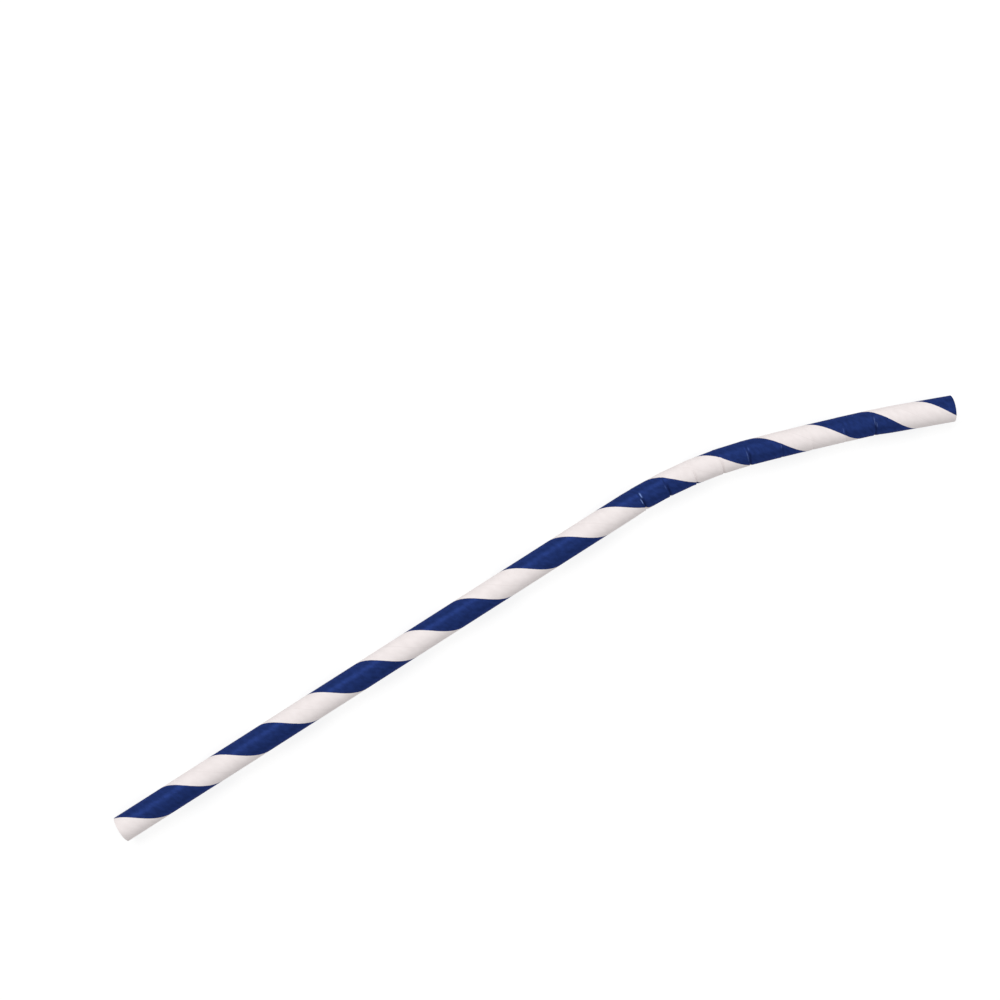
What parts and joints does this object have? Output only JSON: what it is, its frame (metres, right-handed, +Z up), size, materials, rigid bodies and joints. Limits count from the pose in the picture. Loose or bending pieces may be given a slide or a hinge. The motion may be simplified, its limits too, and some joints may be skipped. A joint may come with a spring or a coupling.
{
  "type": "paper drinking straw",
  "caption": "Round paper tube with a diagonal stripe and a creased flex zone that turns its mouth leg aside; its open bore draws a drink from end to end.",
  "frame": {"origin": "on the surface that the straw lies on, under the middle of its bounding box", "axes": "+X along the long leg towards the bend, +Z up, the mouth leg bent towards -Y"},
  "size_m": [0.2072, 0.0264, 0.006],
  "materials": {
    "striped_paper": "white wound paper printed with a dark blue diagonal stripe, satin where printed"
  },
  "bodies": {
    "root": {"straw_tube": "striped_paper"}
  },
  "joints": []
}
